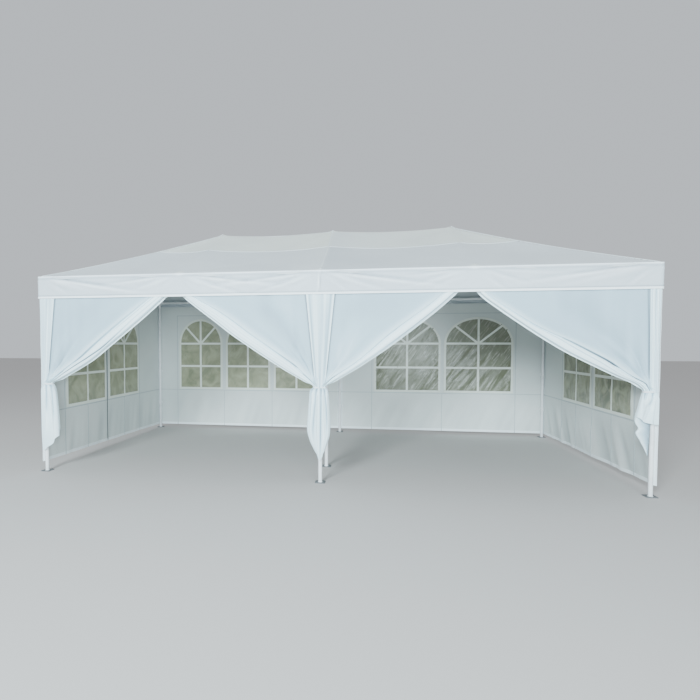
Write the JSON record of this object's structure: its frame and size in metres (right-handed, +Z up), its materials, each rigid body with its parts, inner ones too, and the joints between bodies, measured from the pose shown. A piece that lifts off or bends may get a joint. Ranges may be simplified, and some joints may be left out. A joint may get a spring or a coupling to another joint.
{
  "type": "marquee tent",
  "caption": "Long party marquee with a hipped cloth roof on a steel tube frame, walls with arched clear windows, and front curtains drawn back and tied to the legs.",
  "frame": {"origin": "on the ground, at the middle of the tent's footprint", "axes": "+X along the long front towards the viewer's right, +Y from the open front to the back wall, +Z up"},
  "size_m": [6.02, 3.02, 2.7794],
  "materials": {
    "white_steel": "white powder coat, slightly glossy",
    "cover_cloth": "coated woven polyethylene, matt with a faint sheen",
    "wall_cloth": "coated woven polyethylene, matt with a faint sheen",
    "clear_film": "clear vinyl sheet, glossy and lightly wrinkled"
  },
  "bodies": {
    "root": {"bay_rafter_back_left": "white_steel", "bay_rafter_back_right": "white_steel", "bay_rafter_front_left": "white_steel", "bay_rafter_front_right": "white_steel", "clear_sheet_back_left": "clear_film", "clear_sheet_back_right": "clear_film", "clear_sheet_left": "clear_film", "clear_sheet_right": "clear_film", "connector_back_left": "white_steel", "connector_back_middle": "white_steel", "connector_back_right": "white_steel", "connector_front_left": "white_steel", "connector_front_middle": "white_steel", "connector_front_right": "white_steel", "cover_back": "cover_cloth", "cover_front": "cover_cloth", "cover_left": "cover_cloth", "cover_right": "cover_cloth", "curtain_inner_left": "wall_cloth", "curtain_inner_right": "wall_cloth", "curtain_outer_left": "wall_cloth", "curtain_outer_right": "wall_cloth", "curtain_tail_left": "wall_cloth", "curtain_tail_middle": "wall_cloth", "curtain_tail_right": "wall_cloth", "hip_rafter_back_left": "white_steel", "hip_rafter_back_right": "white_steel", "hip_rafter_front_left": "white_steel", "hip_rafter_front_right": "white_steel", "leg_back_left": "white_steel", "leg_back_middle": "white_steel", "leg_back_right": "white_steel", "leg_front_left": "white_steel", "leg_front_middle": "white_steel", "leg_front_right": "white_steel", "middle_rafter_back": "white_steel", "middle_rafter_front": "white_steel", "prop_post": "white_steel", "rail_back_left": "white_steel", "rail_back_right": "white_steel", "rail_front_left": "white_steel", "rail_front_right": "white_steel", "rail_left": "white_steel", "rail_right": "white_steel", "ridge_connector_left": "white_steel", "ridge_connector_middle": "white_steel", "ridge_connector_right": "white_steel", "ridge_tube_left": "white_steel", "ridge_tube_right": "white_steel", "valance_back": "cover_cloth", "valance_front": "cover_cloth", "valance_left": "cover_cloth", "valance_right": "cover_cloth", "wall_back_left": "wall_cloth", "wall_back_right": "wall_cloth", "wall_left": "wall_cloth", "wall_right": "wall_cloth"}
  },
  "joints": []
}
